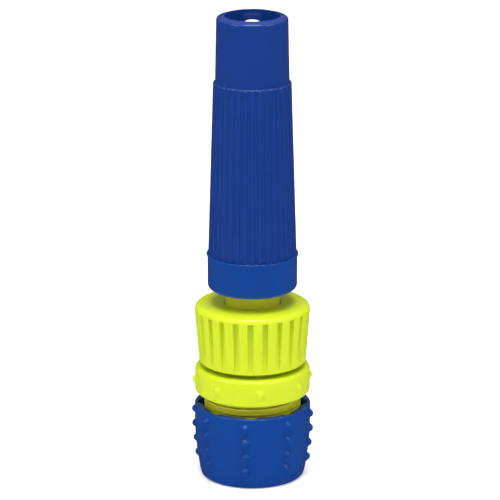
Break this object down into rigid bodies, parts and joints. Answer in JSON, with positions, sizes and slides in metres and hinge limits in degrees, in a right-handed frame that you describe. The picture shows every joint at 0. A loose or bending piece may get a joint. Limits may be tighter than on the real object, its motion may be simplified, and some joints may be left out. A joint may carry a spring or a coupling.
{
  "type": "hose spray nozzle",
  "caption": "Straight twist-to-adjust garden hose nozzle with a fluted barrel, plugged into a quick-release hose connector with a screw-down hose nut.",
  "frame": {"origin": "centre of the hose nut's flat lower face, on the part's long axis", "axes": "+Z runs along the part from the hose end to the spray mouth; +X and +Y are square to it, with a latch claw on each"},
  "size_m": [0.036, 0.036, 0.142],
  "materials": {
    "blue_plastic": "satin moulded plastic",
    "lime_plastic": "satin moulded plastic",
    "white_acetal": "smooth moulded plastic",
    "black_rubber": "greased rubber",
    "spring_steel": "drawn wire"
  },
  "bodies": {
    "connector": {"connector_body": "lime_plastic", "release_spring": "spring_steel"},
    "release": {"release_ring": "lime_plastic"},
    "claw_1": {"latch_claw_1": "white_acetal"},
    "claw_2": {"latch_claw_2": "white_acetal"},
    "claw_3": {"latch_claw_3": "white_acetal"},
    "claw_4": {"latch_claw_4": "white_acetal"},
    "collet": {"hose_collet": "white_acetal"},
    "nut": {"hose_nut": "blue_plastic"},
    "nozzle": {"nozzle_stem": "lime_plastic", "grip_skirt": "lime_plastic", "spigot_o_ring": "black_rubber", "stem_o_ring_rear": "black_rubber", "stem_o_ring_front": "black_rubber", "spray_needle": "white_acetal", "needle_o_ring": "black_rubber"},
    "wiper": {"wiper_ring": "black_rubber"},
    "sleeve": {"twist_sleeve": "blue_plastic", "sleeve_end_cap": "blue_plastic"}
  },
  "joints": [
    {"name": "nozzle_swivel", "type": "hinge", "parent": "connector", "child": "nozzle", "pos_m": [0, 0, 0.03], "axis": [0, 0, 1], "continuous": true},
    {"name": "sleeve_travel", "type": "slide", "parent": "nozzle", "child": "wiper", "axis": [0, 0, 1], "range_m": [0, 0.009]},
    {"name": "sleeve_twist", "type": "hinge", "parent": "wiper", "child": "sleeve", "pos_m": [0, 0, 0.09], "axis": [0, 0, 1], "range_deg": [0, 1080]},
    {"name": "ring_release", "type": "slide", "parent": "connector", "child": "release", "axis": [0, 0, -1], "range_m": [0, 0.003], "stiffness_N_per_m": 500, "springref_m": -0.003, "deforming": ["release_spring"]},
    {"name": "claw_1_slide", "type": "slide", "parent": "connector", "child": "claw_1", "axis": [1, 0, 0], "range_m": [0, 0.0009]},
    {"name": "claw_2_slide", "type": "slide", "parent": "connector", "child": "claw_2", "axis": [0, 1, 0], "range_m": [0, 0.0009]},
    {"name": "claw_3_slide", "type": "slide", "parent": "connector", "child": "claw_3", "axis": [-1, 0, 0], "range_m": [0, 0.0009]},
    {"name": "claw_4_slide", "type": "slide", "parent": "connector", "child": "claw_4", "axis": [0, -1, 0], "range_m": [0, 0.0009]},
    {"name": "nut_travel", "type": "slide", "parent": "connector", "child": "collet", "axis": [0, 0, -1], "range_m": [0, 0.006]},
    {"name": "nut_twist", "type": "hinge", "parent": "collet", "child": "nut", "pos_m": [0, 0, 0.011], "axis": [0, 0, -1], "range_deg": [0, 1440]}
  ],
  "couplings": [
    {"joint": "sleeve_travel", "follows": "sleeve_twist", "m_per_rad": 0.00047746},
    {"joint": "claw_1_slide", "follows": "ring_release", "ratio": 0.3},
    {"joint": "claw_2_slide", "follows": "ring_release", "ratio": 0.3},
    {"joint": "claw_3_slide", "follows": "ring_release", "ratio": 0.3},
    {"joint": "claw_4_slide", "follows": "ring_release", "ratio": 0.3},
    {"joint": "nut_travel", "follows": "nut_twist", "m_per_rad": 0.00023873}
  ]
}
